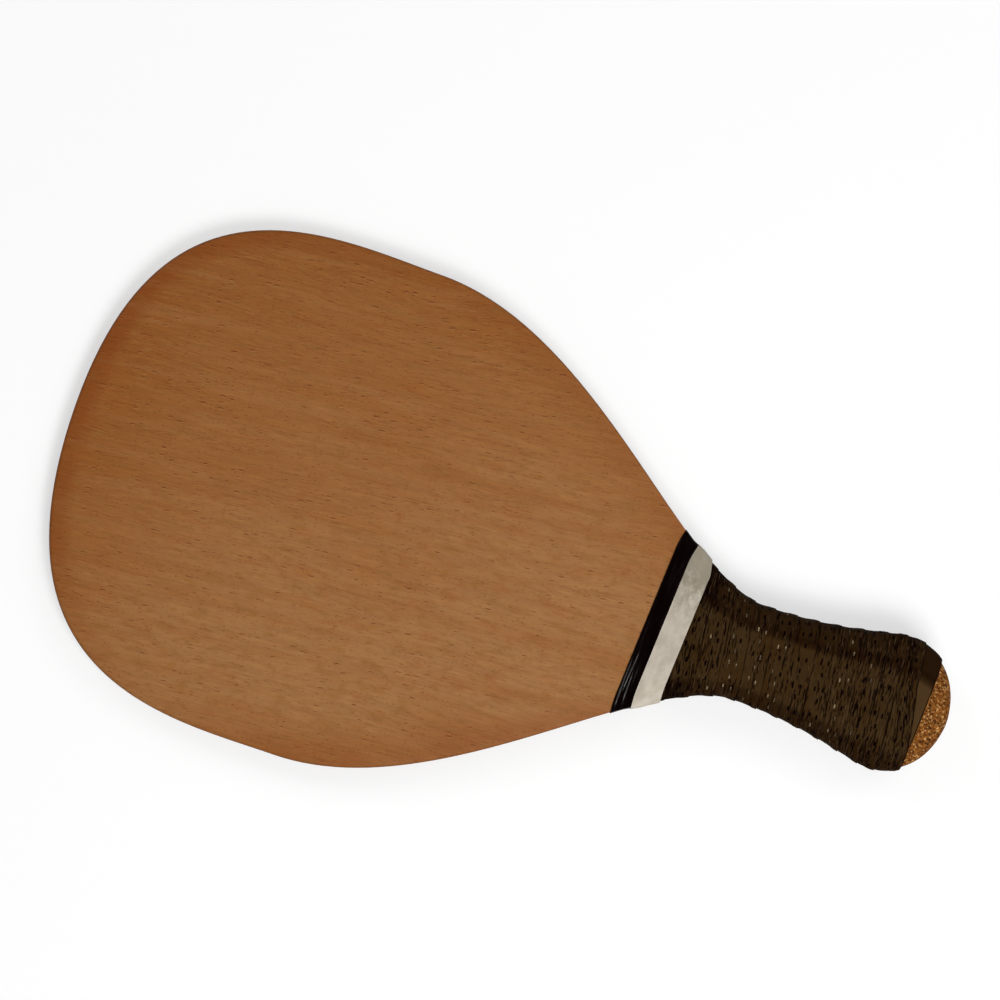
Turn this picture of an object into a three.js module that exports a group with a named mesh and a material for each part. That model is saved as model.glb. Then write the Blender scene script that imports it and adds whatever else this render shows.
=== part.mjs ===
// A frescobol racket: a plywood blade whose tang carries two cork handle scales,
// a grip ribbon wound round them, and two tapes that finish the neck.
// Millimetres. The racket lies on its back along X with the head at -X, and +Z is its front face.
// A station is a distance from the butt end, measured along the racket's centre line.

import * as THREE from "three";

// Plan of the blade and its tang
const overallLength = 450;
const headWidth = 247;
const headStation = 303;
const waistWidth = 46;
const waistStation = 101.5;
const buttWidth = 65;
const buttStation = 28.5;
const crownLean = 5;

// Plan curves, as shares of the stretch or half width that each one follows
const buttRoundShare = 0.62;
const buttShoulderShare = 0.52;
const swellRunShare = 0.15;
const waistApproachShare = 0.575;
const neckRunShare = 0.212;
const taperReachShare = 0.41;
const crownRunShare = 0.348;
const crownReachShare = 1.11;

// Plywood
const bladeThickness = 10;
const bladeEdgeRadius = 2;
const edgeRoundingRun = 16;

// Where a ply's edge has corners, as shares of its thickness: closer together towards the face
const faceEdgeShares = [0, 0.5, 0.85, 1];
const innerEdgeShares = [0, 1];

// From the back of the blade to its front
const plyNames = [
  "face_ply_back",
  "cross_ply_back",
  "long_ply_back",
  "core_ply",
  "long_ply_front",
  "cross_ply_front",
  "face_ply_front",
];

// Grip ribbon, wound from near the butt to the neck
const gripStartStation = 12.5;
const gripLength = 125.5;
const gripPitch = 11;
const gripTurnGap = 0.6;
const gripEdgeThickness = 1.3;
const gripLapThickness = 0.9;
const gripTailWidth = 2;
const gripEndStation = gripStartStation + gripLength;

// Tapes round the neck: the finishing tape laps over the grip's end, and the neck tape shows past it
const layerGap = 0.2;
const tapeTiltDegrees = 2.9;
const finishingTapeWidth = 12;
const finishingTapeLap = 4.7;
const finishingTapeThickness = 0.3;
const neckTapeWidth = 19;
const neckTapeShows = 8.3;
const neckTapeThickness = 0.3;
const neckTapeStepRun = 8;
const finishingTapeEndStation = gripEndStation - finishingTapeLap + finishingTapeWidth;
const neckTapeEndStation = finishingTapeEndStation + neckTapeShows;
const tapeTilt = Math.tan(THREE.MathUtils.degToRad(tapeTiltDegrees));

// Cork handle scales, which start to ramp down to the blade before the grip's end
const scaleThickness = 8.5;
const scaleButtRadius = 5;
const scaleRampLead = 22;
const scaleRampRun = 38;
const scaleTipThickness = 0.6;
const scaleRampStation = gripEndStation - scaleRampLead;

// Section of the handle, from the middle of its side to the middle of its front:
// shares of the half width, and shares of the scale's thickness above the tang
const sectionWidthShares = [1, 1, 0.96, 0.8, 0.61, 0.34, 0];
const sectionHeightShares = [0, 0, 0.3, 0.68, 0.96, 1, 1];

// Facets: counts, and the steps along the palm and along the neck
const buttFacets = 8;
const swellFacets = 14;
const taperFacets = 26;
const crownFacets = 28;
const palmStep = 7;
const neckStep = 1.5;
const stationSearchSteps = 40;

const materials = {
  veneer: new THREE.MeshStandardMaterial({ color: 0x8f5f3a, roughness: 0.55, metalness: 0 }),
  crossVeneer: new THREE.MeshStandardMaterial({ color: 0x7a4c2c, roughness: 0.7, metalness: 0 }),
  cork: new THREE.MeshStandardMaterial({ color: 0x946138, roughness: 0.85, metalness: 0 }),
  grip: new THREE.MeshStandardMaterial({ color: 0x33261b, roughness: 0.7, metalness: 0 }),
  neckTape: new THREE.MeshStandardMaterial({ color: 0x0e0402, roughness: 0.25, metalness: 0 }),
  finishingTape: new THREE.MeshStandardMaterial({ color: 0xb0a698, roughness: 0.5, metalness: 0.4 }),
};

// Four curves that run up one side of the plan, as points of (station, distance from the centre line).
// The tip of the crown lies on the +Y side of the centre line.
function sideCurves(side) {
  const point = (station, across) => new THREE.Vector2(station, across);
  const [butt, waist, head] = [buttWidth / 2, waistWidth / 2, headWidth / 2];
  const swell = waistStation - buttStation;
  const taper = headStation - waistStation;
  const crown = overallLength - headStation;
  const lean = side * crownLean;
  return [
    new THREE.CubicBezierCurve(
      point(0, 0),
      point(0, butt * buttRoundShare),
      point(buttStation * (1 - buttShoulderShare), butt),
      point(buttStation, butt),
    ),
    new THREE.CubicBezierCurve(
      point(buttStation, butt),
      point(buttStation + swell * swellRunShare, butt),
      point(waistStation - swell * waistApproachShare, waist),
      point(waistStation, waist),
    ),
    new THREE.CubicBezierCurve(
      point(waistStation, waist),
      point(waistStation + taper * neckRunShare, waist),
      point(headStation - taper * taperReachShare, head),
      point(headStation, head),
    ),
    new THREE.CubicBezierCurve(
      point(headStation, head),
      point(headStation + crown * crownRunShare, head),
      point(overallLength, head * crownReachShare),
      point(overallLength, lean),
    ),
  ];
}

// The points up one side of the plan, each with the direction that faces out of the wood.
function sideOutline(side) {
  const facets = [buttFacets, swellFacets, taperFacets, crownFacets];
  const outline = [];
  sideCurves(side).forEach((curve, index) => {
    for (let step = index === 0 ? 0 : 1; step <= facets[index]; step++) {
      const at = curve.getPoint(step / facets[index]);
      const along = curve.getTangent(step / facets[index]);
      outline.push({ station: at.x, across: side * at.y, outX: -along.y, outY: side * along.x });
    }
  });
  return outline;
}

// Half the width of the tang and the neck at a station, found on the side curve that spans it.
function halfWidthAt(station) {
  const curve = sideCurves(1).find((candidate) => station <= candidate.v3.x);
  let [low, high] = [0, 1];
  for (let step = 0; step < stationSearchSteps; step++) {
    const middle = (low + high) / 2;
    if (curve.getPoint(middle).x < station) low = middle;
    else high = middle;
  }
  return curve.getPoint(high).y;
}

// Triangles gathered into one closed shell. A triangle that has shrunk to an edge is left out.
class Shell {
  constructor() {
    this.positions = [];
  }

  triangle(a, b, c) {
    if (a.equals(b) || b.equals(c) || c.equals(a)) return;
    for (const corner of [a, b, c]) this.positions.push(corner.x, corner.y, corner.z);
  }

  // Split along its shorter diagonal, so that layers with the same twist are split alike.
  quad(a, b, c, d) {
    if (a.distanceTo(c) < b.distanceTo(d)) {
      this.triangle(a, b, c);
      this.triangle(a, c, d);
    } else {
      this.triangle(a, b, d);
      this.triangle(b, c, d);
    }
  }

  fan(loop) {
    for (let i = 1; i < loop.length - 1; i++) this.triangle(loop[0], loop[i], loop[i + 1]);
  }

  geometry() {
    const geometry = new THREE.BufferGeometry();
    geometry.setAttribute("position", new THREE.Float32BufferAttribute(this.positions, 3));
    geometry.computeVertexNormals();
    return geometry;
  }
}

// The skin over a row of closed loops with the same number of points. The loops turn clockwise as
// they are seen from the first one, and the two ends are covered unless the row closes on itself.
function skinOver(loops, closes) {
  const shell = new Shell();
  const count = loops[0].length;
  const spans = closes ? loops.length : loops.length - 1;
  for (let span = 0; span < spans; span++) {
    const near = loops[span];
    const far = loops[(span + 1) % loops.length];
    for (let i = 0; i < count; i++) {
      const next = (i + 1) % count;
      shell.quad(near[i], near[next], far[next], far[i]);
    }
  }
  if (!closes) {
    shell.fan([...loops[0]].reverse());
    shell.fan(loops[loops.length - 1]);
  }
  return shell.geometry();
}

// The blade's edges are rounded, and the rounding fades out at the neck tape.
function edgeRadiusAt(station) {
  const full = neckTapeEndStation + edgeRoundingRun;
  return bladeEdgeRadius * THREE.MathUtils.smoothstep(station, neckTapeEndStation, full);
}

function edgeInset(height, station) {
  const radius = edgeRadiusAt(station);
  const into = Math.abs(height) - (bladeThickness / 2 - radius);
  if (into <= 0) return 0;
  return radius - Math.sqrt(Math.max(0, radius * radius - into * into));
}

// One ply: the plan between two heights, with its edge following the blade's rounded edge.
function plyGeometry(index) {
  const plyHeight = (level) => bladeThickness * (level / plyNames.length) - bladeThickness / 2;
  const bottom = plyHeight(index);
  const top = plyHeight(index + 1);
  const isFace = index === 0 || index === plyNames.length - 1;
  const [inner, outer] = top > 0 ? [bottom, top] : [top, bottom];
  const heights = (isFace ? faceEdgeShares : innerEdgeShares)
    .map((share) => THREE.MathUtils.lerp(inner, outer, share))
    .sort((low, high) => low - high);
  const edgePoint = (edge, height) => {
    const inset = edgeInset(height, edge.station);
    return new THREE.Vector3(
      -(edge.station - edge.outX * inset),
      edge.across - edge.outY * inset,
      height,
    );
  };
  const left = sideOutline(1);
  const right = sideOutline(-1);
  const shell = new Shell();
  for (let i = 0; i < left.length - 1; i++) {
    const corners = (height) => [
      edgePoint(left[i], height),
      edgePoint(left[i + 1], height),
      edgePoint(right[i + 1], height),
      edgePoint(right[i], height),
    ];
    shell.quad(...corners(top));
    shell.quad(...corners(bottom).reverse());
    for (let step = 0; step < heights.length - 1; step++) {
      const [lowLeft, lowLeftNext, lowRightNext, lowRight] = corners(heights[step]);
      const [upLeft, upLeftNext, upRightNext, upRight] = corners(heights[step + 1]);
      shell.quad(lowLeft, lowLeftNext, upLeftNext, upLeft);
      shell.quad(lowRightNext, lowRight, upRight, upRightNext);
    }
  }
  return shell.geometry();
}

// Thickness of a cork scale: rounded over at the butt, full along the palm, ramped down at the neck.
function scaleHeightAt(station) {
  const rounding = Math.max(0, scaleButtRadius - station);
  const drop = scaleButtRadius - Math.sqrt(scaleButtRadius * scaleButtRadius - rounding * rounding);
  const share = (station - scaleRampStation) / scaleRampRun;
  const ramp = (1 + Math.cos(Math.PI * THREE.MathUtils.clamp(share, 0, 1))) / 2;
  return (scaleThickness - drop) * ramp;
}

// The place on the handle's surface at a station and one of the places round its section, which are
// counted from the middle of the -Y side over the front. Lift moves it out square to the surface.
const quarter = sectionWidthShares.length - 1;
const sectionPlaces = 4 * quarter;

function sectionPoint(station, place) {
  const turned = ((place % sectionPlaces) + sectionPlaces) % sectionPlaces;
  const half = turned % (2 * quarter);
  const index = half <= quarter ? half : 2 * quarter - half;
  const isFront = turned < 2 * quarter;
  const side = (half <= quarter) === isFront ? -1 : 1;
  const tang = index === 0 ? 0 : bladeThickness / 2;
  const height = tang + sectionHeightShares[index] * scaleHeightAt(station);
  return new THREE.Vector2(
    side * sectionWidthShares[index] * halfWidthAt(station),
    isFront ? height : -height,
  );
}

function handlePoint(station, place, lift) {
  const at = sectionPoint(station, place);
  const before = at.clone().sub(sectionPoint(station, place - 1)).normalize();
  const after = sectionPoint(station, place + 1).sub(at).normalize();
  const corner = before.clone().add(after).divideScalar(1 + before.dot(after));
  return new THREE.Vector3(-station, at.x - corner.y * lift, at.y + corner.x * lift);
}

// Stations from one place to another, with those between on a grid that all the layers at the neck
// share, so that each layer bends where the one under it does.
function neckStations(from, to) {
  const nearest = neckStep / 4;
  const stations = [from];
  for (let mark = Math.ceil(from / neckStep); mark * neckStep < to; mark++) {
    const station = mark * neckStep;
    if (station - from > nearest && to - station > nearest) stations.push(station);
  }
  stations.push(to);
  return stations;
}

// A cork scale: rings across the handle from the butt to the thin end of the ramp.
function scaleGeometry(face) {
  const stations = [];
  const butt = sideCurves(1)[0];
  for (let step = 0; step <= buttFacets; step++) stations.push(butt.getPoint(step / buttFacets).x);
  const palm = scaleRampStation - buttStation;
  const palmSteps = Math.ceil(palm / palmStep);
  for (let step = 1; step <= palmSteps; step++) {
    stations.push(buttStation + palm * (step / palmSteps));
  }
  const tipShare = Math.acos(2 * (scaleTipThickness / scaleThickness) - 1) / Math.PI;
  const tipStation = scaleRampStation + scaleRampRun * tipShare;
  stations.push(...neckStations(scaleRampStation, tipStation).slice(1));
  const rings = stations.map((station) => {
    const ring = [];
    for (let place = 1; place < 2 * quarter; place++) {
      const at = sectionPoint(station, place);
      ring.push(new THREE.Vector3(-station, at.x, face * at.y));
    }
    return face > 0 ? ring : ring.reverse();
  });
  return skinOver(rings, false);
}

// The grip is one ribbon, wound from the butt to the neck. Its two tails taper, so that both ends of
// the winding finish square, and each turn is thickest along its edge nearest the butt.
function gripGeometry() {
  const firstTurn = (gripTailWidth + gripTurnGap) / gripPitch;
  const lastTurn = (gripEndStation - gripTailWidth - gripStartStation) / gripPitch + 1;
  const loops = [];
  const from = Math.ceil(firstTurn * sectionPlaces);
  const to = Math.floor(lastTurn * sectionPlaces);
  for (let step = from; step <= to; step++) {
    const turn = step / sectionPlaces;
    const low = gripStartStation + gripPitch * Math.max(0, turn - 1);
    const high = Math.min(gripEndStation, gripStartStation + gripPitch * turn - gripTurnGap);
    const middle = (low + high) / 2;
    const width = (high - low) / (gripPitch - gripTurnGap);
    const thicknessAt = (share) => THREE.MathUtils.lerp(gripEdgeThickness, gripLapThickness, share);
    loops.push([
      handlePoint(low, step, layerGap),
      handlePoint(middle, step, layerGap),
      handlePoint(high, step, layerGap),
      handlePoint(high, step, layerGap + thicknessAt(width)),
      handlePoint(middle, step, layerGap + thicknessAt(width / 2)),
      handlePoint(low, step, layerGap + thicknessAt(0)),
    ]);
  }
  console.log("least gap between turns of the grip, mm:", leastTurnGap(loops).toFixed(2));
  return skinOver(loops, false);
}

// Least distance from the neck-side edge of each turn to the butt-side edge of the next.
function leastTurnGap(loops) {
  const [high, highTop, lowTop, low] = [2, 3, 5, 0];
  let least = Infinity;
  for (let step = 0; step + sectionPlaces < loops.length; step++) {
    const near = loops[step];
    const far = loops[step + sectionPlaces];
    const edge = new THREE.Line3(far[low], far[lowTop]);
    for (const corner of [near[high], near[highTop]]) {
      const closest = edge.closestPointToPoint(corner, true, new THREE.Vector3());
      least = Math.min(least, closest.distanceTo(corner));
    }
  }
  return least;
}

// A tape laid once round the neck, at a slight tilt. Its lift from the handle changes along it.
function tapeGeometry(endStation, width, thickness, liftAt) {
  const centres = neckStations(endStation - width, endStation);
  const loops = [];
  for (let place = 0; place < sectionPlaces; place++) {
    const inner = [];
    const outer = [];
    for (const centre of centres) {
      const station = centre - sectionPoint(centre, place).x * tapeTilt;
      inner.push(handlePoint(station, place, liftAt(centre)));
      outer.push(handlePoint(station, place, liftAt(centre) + thickness));
    }
    loops.push([...inner, ...outer.reverse()]);
  }
  return skinOver(loops, true);
}

// The neck tape covers the grip's end, then steps down onto the wood.
function neckTapeLift(station) {
  const clearOfGrip = gripEndStation + halfWidthAt(gripEndStation) * tapeTilt;
  const share = THREE.MathUtils.clamp((station - clearOfGrip) / neckTapeStepRun, 0, 1);
  return THREE.MathUtils.lerp(layerGap + gripEdgeThickness + layerGap, layerGap, share);
}

function finishingTapeLift(station) {
  return neckTapeLift(station) + neckTapeThickness + layerGap;
}

function named(name, geometry, material) {
  const mesh = new THREE.Mesh(geometry, material);
  mesh.name = name;
  return mesh;
}

const blade = new THREE.Group();
plyNames.forEach((name, index) => {
  const isLongGrain = index % 2 === 0;
  blade.add(named(name, plyGeometry(index), isLongGrain ? materials.veneer : materials.crossVeneer));
});

const handle = new THREE.Group();
handle.add(named("cork_scale_front", scaleGeometry(1), materials.cork));
handle.add(named("cork_scale_back", scaleGeometry(-1), materials.cork));
handle.add(named("grip_tape", gripGeometry(), materials.grip));
handle.add(
  named(
    "neck_tape",
    tapeGeometry(neckTapeEndStation, neckTapeWidth, neckTapeThickness, neckTapeLift),
    materials.neckTape,
  ),
);
handle.add(
  named(
    "finishing_tape",
    tapeGeometry(
      finishingTapeEndStation,
      finishingTapeWidth,
      finishingTapeThickness,
      finishingTapeLift,
    ),
    materials.finishingTape,
  ),
);

// The origin is under the middle of the length, at the level of the lowest place of the handle.
const racket = new THREE.Group();
racket.add(blade, handle);
const lowest = new THREE.Box3().setFromObject(racket).min.z;
racket.position.set(overallLength / 2, 0, -lowest);

export default racket;
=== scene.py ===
import math

import bpy
import numpy as np
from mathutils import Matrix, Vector
from mathutils.geometry import interpolate_bezier


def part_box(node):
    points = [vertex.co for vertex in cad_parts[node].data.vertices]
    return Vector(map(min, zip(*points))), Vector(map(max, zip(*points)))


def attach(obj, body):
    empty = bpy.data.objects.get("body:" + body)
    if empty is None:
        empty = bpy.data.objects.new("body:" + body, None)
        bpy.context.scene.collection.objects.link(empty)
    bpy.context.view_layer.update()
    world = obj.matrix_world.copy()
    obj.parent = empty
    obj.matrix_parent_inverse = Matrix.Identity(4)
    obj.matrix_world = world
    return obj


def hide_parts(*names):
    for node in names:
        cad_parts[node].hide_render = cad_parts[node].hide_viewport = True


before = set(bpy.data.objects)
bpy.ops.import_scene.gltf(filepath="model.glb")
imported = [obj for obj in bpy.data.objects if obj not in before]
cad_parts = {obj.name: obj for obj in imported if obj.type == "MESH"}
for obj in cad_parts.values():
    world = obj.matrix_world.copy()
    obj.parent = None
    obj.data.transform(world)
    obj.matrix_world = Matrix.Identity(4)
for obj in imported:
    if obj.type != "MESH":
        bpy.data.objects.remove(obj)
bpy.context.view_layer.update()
bpy.ops.object.select_all(action="DESELECT")

# Blade and tang: seven plies of a reddish tropical veneer, glued face to face with the grain of each
# turned against the next, then sawn to one outline. The sawn edge is sanded round on the head. It
# stays square along the tang, where the cork scales are trimmed flush with it.
mm = 0.001
overall_length = 450 * mm
head_width = 247 * mm
head_station = 303 * mm
waist_width = 46 * mm
waist_station = 101.5 * mm
butt_width = 65 * mm
butt_station = 28.5 * mm
crown_lean = 5 * mm
butt_round_share = 0.62
butt_shoulder_share = 0.52
swell_run_share = 0.15
waist_approach_share = 0.575
neck_run_share = 0.212
taper_reach_share = 0.41
crown_run_share = 0.348
crown_reach_share = 1.11
outline_steps = 48

blade_thickness = 10 * mm
edge_radius = 2 * mm
edge_steps = 8
square_until = 153.6 * mm
rounding_run = 16 * mm
fall_run = 12 * mm
fall_depth = 0.45 * mm
fall_rings = 6
weld_distance = 0.01 * mm
level_cosine = 0.999
ply_names = [
    "face_ply_back",
    "cross_ply_back",
    "long_ply_back",
    "core_ply",
    "long_ply_front",
    "cross_ply_front",
    "face_ply_front",
]
ply_thickness = blade_thickness / len(ply_names)
middle_height = sum(corner.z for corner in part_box("core_ply")) / 2


def side_knots():
    """Knots up one side of the plan: each a point, its handle before it and its handle after it."""
    butt, waist, head = butt_width / 2, waist_width / 2, head_width / 2
    swell = waist_station - butt_station
    taper = head_station - waist_station
    crown = overall_length - head_station
    knots = [((0, 0), (0, -butt * butt_round_share), (0, butt * butt_round_share))]
    for station, across, run_before, run_after in (
        (butt_station, butt, butt_station * butt_shoulder_share, swell * swell_run_share),
        (waist_station, waist, swell * waist_approach_share, taper * neck_run_share),
        (head_station, head, taper * taper_reach_share, crown * crown_run_share),
    ):
        before, after = (station - run_before, across), (station + run_after, across)
        knots.append(((station, across), before, after))
    tip, reach = (overall_length, crown_lean), head * crown_reach_share
    return [*knots, (tip, (overall_length, reach), (overall_length, -reach))]


def on_plan(point, side):
    station, across = point
    return Vector((overall_length / 2 - station, side * across, 0))


def eased(value, low, high):
    """Rises softly from 0 to 1 while the value goes from low to high."""
    t = np.clip((value - low) / (high - low), 0, 1)
    return t * t * (3 - 2 * t)


def pick_out(piece):
    """Makes this piece the active one, and the only one selected."""
    bpy.ops.object.select_all(action="DESELECT")
    bpy.context.view_layer.objects.active = piece
    piece.select_set(True)


def edit(piece, select=True):
    """Opens one piece for editing, with all of it selected or nothing."""
    pick_out(piece)
    bpy.ops.object.mode_set(mode="EDIT")
    bpy.ops.mesh.select_all(action="SELECT" if select else "DESELECT")


def close():
    bpy.ops.object.mode_set(mode="OBJECT")


def apply_modifier(piece, kind, **settings):
    modifier = piece.modifiers.new(kind.title(), kind)
    for setting, value in settings.items():
        setattr(modifier, setting, value)
    bpy.context.view_layer.objects.active = piece
    bpy.ops.object.modifier_apply(modifier=modifier.name)


def widest_flat(piece, upward):
    """The widest face of those that look straight up or straight down."""
    flats = [face for face in piece.data.polygons if face.normal.z * upward > level_cosine]
    return max(flats, key=lambda face: face.area)


bpy.ops.curve.primitive_bezier_circle_add()
plan = bpy.context.object
bpy.ops.object.mode_set(mode="EDIT")
bpy.ops.curve.select_all(action="SELECT")
bpy.ops.curve.subdivide()
bpy.ops.object.mode_set(mode="OBJECT")
up_and_down = [(knot, 1) for knot in side_knots()] + [(knot, -1) for knot in side_knots()[-2:0:-1]]
for bezier, ((point, before, after), side) in zip(plan.data.splines[0].bezier_points, up_and_down):
    if side < 0:
        before, after = after, before
    bezier.handle_left_type = bezier.handle_right_type = "FREE"
    bezier.co = on_plan(point, side)
    bezier.handle_left = on_plan(before, side)
    bezier.handle_right = on_plan(after, side)
plan.data.resolution_u = outline_steps
bpy.ops.object.convert(target="MESH")
blade = bpy.context.object
blade.name = "blade"

edit(blade)
bpy.ops.mesh.remove_doubles(threshold=weld_distance)
bpy.ops.mesh.edge_face_add()
bpy.ops.mesh.extrude_region_move(TRANSFORM_OT_translate={"value": (0, 0, blade_thickness)})
bpy.ops.mesh.select_all(action="SELECT")
bpy.ops.mesh.normals_make_consistent(inside=False)
bpy.ops.transform.translate(value=(0, 0, middle_height - blade_thickness / 2))
close()

weights = blade.data.attributes.new("bevel_weight_edge", "FLOAT", "EDGE")
for edge in blade.data.edges:
    near, far = (blade.data.vertices[index].co for index in edge.vertices)
    if abs(near.z - far.z) < ply_thickness:
        station = overall_length / 2 - (near.x + far.x) / 2
        weights.data[edge.index].value = eased(station, square_until, square_until + rounding_run)
apply_modifier(
    blade,
    "BEVEL",
    limit_method="WEIGHT",
    width=edge_radius,
    segments=edge_steps,
    use_clamp_overlap=False,
)

# The faces are sanded down a little towards the edge of the head
blade.data.attributes.new("inward", "FLOAT", "POINT")
for upward in (1, -1):
    for ring in range(1, fall_rings + 1):
        edit(blade, select=False)
        close()
        widest_flat(blade, upward).select = True
        bpy.ops.object.mode_set(mode="EDIT")
        bpy.ops.mesh.inset(thickness=fall_run / fall_rings)
        close()
        inward = blade.data.attributes["inward"].data
        for index in widest_flat(blade, upward).vertices:
            inward[index].value = ring / fall_rings
inward = blade.data.attributes["inward"].data
for corner in blade.data.vertices:
    station = overall_length / 2 - corner.co.x
    fade = eased(station, square_until, square_until + rounding_run)
    fall = fall_depth * fade * (1 - inward[corner.index].value) ** 2
    height = corner.co.z - middle_height
    corner.co.z = middle_height + height * (1 - fall / (blade_thickness / 2))


def node(kind, inputs, tree=None, **settings):
    """Adds a shader node. Each input is given a value, or is joined to another node's output.

    The node goes to the tree that is given, or else to the tree of those outputs.
    """
    joined = {key: value for key, value in inputs.items() if isinstance(value, bpy.types.NodeSocket)}
    tree = tree or next(iter(joined.values())).id_data
    made = tree.nodes.new("ShaderNode" + kind)
    for setting, value in settings.items():
        setattr(made, setting, value)
    for key, value in inputs.items():
        if key in joined:
            tree.links.new(value, made.inputs[key])
        else:
            made.inputs[key].default_value = value
    return made


def calc(operation, *values):
    return node("Math", dict(enumerate(values)), operation=operation).outputs[0]


def times(product, *values):
    for value in values:
        product = calc("MULTIPLY", product, value)
    return product


def swing(value, width):
    """Turns a value round 0.5 into one round 0 that is this wide."""
    return times(calc("SUBTRACT", value, 0.5), width)


def between(value, low, high, to_low=0.0, to_high=1.0, smooth=True):
    """Carries a value from one range to another, and holds it at the ends."""
    kind = "SMOOTHSTEP" if smooth else "LINEAR"
    limits = {1: low, 2: high, 3: to_low, 4: to_high, 0: value}
    return node("MapRange", limits, interpolation_type=kind, clamp=True).outputs[0]


def blend(share, at_none, at_full):
    """A value that goes evenly from one number to another while the share goes from 0 to 1."""
    return between(share, 0.0, 1.0, at_none, at_full, smooth=False)


def mix(factor, under, over, how="MIX"):
    inputs = {0: factor, 6: under, 7: over}
    return node("Mix", inputs, data_type="RGBA", blend_type=how).outputs[2]


def layered(colour, *layers):
    """Lays colours over one another, each as far as its factor says and at most to its share."""
    for factor, share, over in layers:
        colour = mix(times(factor, share), colour, over)
    return colour


def scaled(vector, *sizes):
    """The vector measured in steps of these sizes, one for each axis."""
    steps = tuple(1 / size for size in sizes)
    return node("VectorMath", {0: vector, 1: steps}, operation="MULTIPLY").outputs[0]


def moved(vector, way):
    return node("VectorMath", {0: vector, 1: way}, operation="ADD").outputs[0]


def in_grains(vector, sizes):
    """The vector measured in grains of these sizes in mm. The third axis may be left as it is."""
    return scaled(vector, *[size * mm for size in sizes], *[1] * (3 - len(sizes)))


def noise(vector, sizes, detail=2.0, roughness=0.5, result="Fac"):
    inputs = {"Vector": in_grains(vector, sizes), "Scale": 1.0}
    inputs |= {"Detail": detail, "Roughness": roughness}
    return node("TexNoise", inputs).outputs[result]


def read(tree, name, result="Fac"):
    """One of the values that the piece carries at each of its points."""
    return node("Attribute", {}, tree, attribute_name=name).outputs[result]


def new_material(name, **surface):
    """A material with its constant values set straight on the surface shader."""
    material = bpy.data.materials.new(name)
    material.use_nodes = True
    tree = material.node_tree
    principled = tree.nodes["Principled BSDF"]
    for socket, value in surface.items():
        principled.inputs[socket.replace("_", " ")].default_value = value
    return material, tree, principled.inputs


def join_surface(tree, surface, colour, rough, relief, strength, depth):
    """Joins colour, roughness and relief to the surface shader."""
    bump = node("Bump", {"Height": relief, "Strength": strength, "Distance": depth})
    tree.links.new(colour, surface["Base Color"])
    tree.links.new(rough, surface["Roughness"])
    tree.links.new(bump.outputs[0], surface["Normal"])


stroke_size_range = (0.55, 1.3)
flattening_size = 1e6


def strokes(grain, sizes, keep, shift=(0, 0), faint=0.35, soft=0.6):
    """Short strokes along the grain, tapered to both ends: one in each flat cell that is kept.

    The sizes are a stroke's length and width, then those of its cell. All are in mm, and so is
    the shift of the pattern.
    """
    length, width, cell_length, cell_width = sizes
    spot = moved(grain, (shift[0] * mm, shift[1] * mm, 0))
    spot = in_grains(spot, (cell_length, cell_width))
    inputs = {"Vector": spot, "Scale": 1.0}
    cell = node("TexVoronoi", inputs, voronoi_dimensions="2D").outputs
    pick = node("SeparateColor", {0: cell["Color"]}).outputs
    off = node("VectorMath", {0: spot, 1: cell["Position"]}, operation="SUBTRACT").outputs[0]
    reach = scaled(off, length / cell_length / 2, width / cell_width / 2, flattening_size)
    gap = node("VectorMath", {0: reach}, operation="LENGTH").outputs["Value"]
    gap = calc("DIVIDE", gap, blend(pick[1], *stroke_size_range))
    stroke = between(calc("SUBTRACT", 1.0, gap), 0.0, soft)
    kept = calc("GREATER_THAN", calc("ADD", pick[0], keep), 1.0)
    return times(stroke, kept, blend(pick[2], faint, 1.0))


# Colours of the veneer, how its grain lies, and the sizes of its pores and strokes in mm. The
# offset keeps one noise from following another
veneer_deep = (0.274, 0.089, 0.0150, 1)
veneer_pale = (0.342, 0.154, 0.0500, 1)
veneer_red = (0.290, 0.086, 0.0160, 1)
veneer_ochre = (0.278, 0.115, 0.0250, 1)
rim_tint_and_shade_brown = (0.205, 0.038, 0.0, 1)
pore_brown = (0.115, 0.008, 0.0, 1)
line_brown = (0.160, 0.030, 0.0, 1)
painted_glint_pale = (0.44, 0.22, 0.080, 1)
glue_brown = (0.050, 0.020, 0.008, 1)
glue_line = 0.1 * mm
face_grain_degrees = 5.8
grain_sway = 8 * mm
painted_light_tone_run = (-260 * mm, 40 * mm)
tone_unevenness = 160 * mm
pale_head_rise = (-215 * mm, -165 * mm)
pale_head_fall = (-120 * mm, -60 * mm)
plus_side_run, plus_side_slant = (40 * mm, 95 * mm), 0.64
minus_side_run, minus_side_slant = (72 * mm, 96 * mm), 0.35
rim_shade_run = (120 * mm, 235 * mm)
noise_offset = (40 * mm,) * 3
mark_sizes = (3.8, 0.62, 4.4, 2.7)
glint_sizes = (2.8, 0.5, 4.4, 2.7)
line_sizes = (7.0, 0.34, 6.0, 1.0)
thread_sizes = (12, 0.42, 10, 1.6)
speck_sizes = (1.6, 0.4, 2.6, 1.6)
glint_line_sizes = (6, 0.5, 7.0, 2.4)


def veneer_grain(place, grain_degrees):
    """Space with X along the grain, which is turned off the centre line and sways a little."""
    turn = (0, 0, -math.radians(grain_degrees))
    turned = node("Mapping", {"Vector": place, "Rotation": turn}).outputs[0]
    wander = noise(turned, (85, 40, 40), detail=1.0)
    sway = swing(wander, grain_sway)
    return moved(turned, node("CombineXYZ", {1: sway, 2: sway}).outputs[0])


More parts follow.
